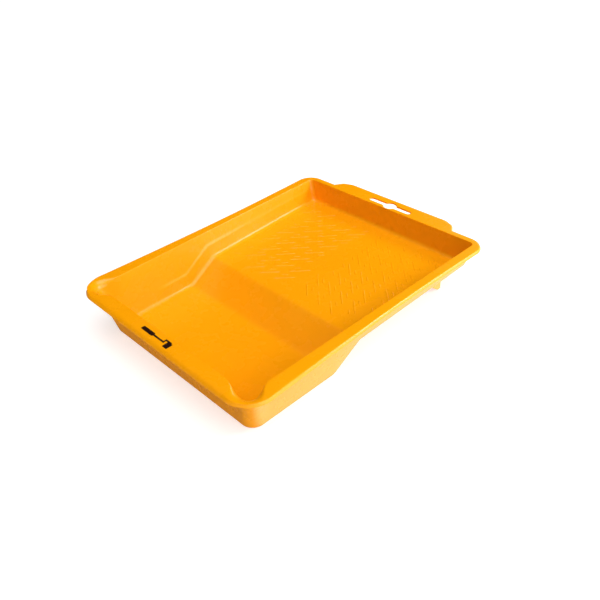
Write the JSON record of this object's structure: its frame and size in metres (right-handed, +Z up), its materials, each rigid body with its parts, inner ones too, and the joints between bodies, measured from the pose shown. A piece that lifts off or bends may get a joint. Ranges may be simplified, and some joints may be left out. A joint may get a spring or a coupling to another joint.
{
  "type": "paint roller tray",
  "caption": "Shallow moulded tray with a deep paint well, a ribbed ramp, pour corners and a slotted hang tab, for a 230 mm paint roller.",
  "frame": {"origin": "on the surface the tray stands on, under the middle of the tray's box", "axes": "+X from the paint well to the hang tab, +Y across the tray, +Z up"},
  "size_m": [0.412, 0.3034, 0.0617],
  "materials": {
    "polypropylene": "glossy injection-moulded orange polypropylene",
    "ink": "dark brown pad-printed ink"
  },
  "bodies": {
    "root": {"tray_body": "polypropylene", "printed_mark": "ink"}
  },
  "joints": []
}
